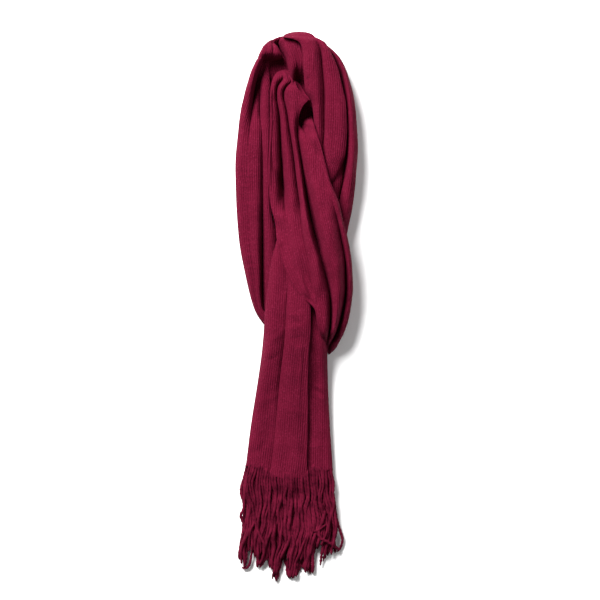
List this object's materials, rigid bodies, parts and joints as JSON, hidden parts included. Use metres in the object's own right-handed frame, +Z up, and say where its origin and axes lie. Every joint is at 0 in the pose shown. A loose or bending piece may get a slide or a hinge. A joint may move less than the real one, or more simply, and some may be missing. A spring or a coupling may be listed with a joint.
{
  "type": "acrylic knitted scarf, doubled, drawn through its own loop and laid flat",
  "caption": "Long fine-rib knitted scarf with fringed ends, doubled and drawn through its own loop, laid flat on a surface.",
  "frame": {"origin": "middle of the underside's box, on the surface the scarf lies on", "axes": "+Y from the fringed tails towards the neck loop, +Z up from the surface, +X to the right seen from above"},
  "size_m": [0.135, 0.605, 0.0535],
  "materials": {
    "knit": "matt fine-rib acrylic knit, burgundy",
    "fringe_yarn": "matt twisted acrylic yarn, burgundy"
  },
  "bodies": {
    "root": {"neck_fold": "knit", "left_strand": "knit", "right_strand_lower": "knit", "right_strand_upper": "knit", "front_strand": "knit", "tail_front": "knit", "tail_back": "knit", "fringe_front": "fringe_yarn", "fringe_back": "fringe_yarn"}
  },
  "joints": []
}
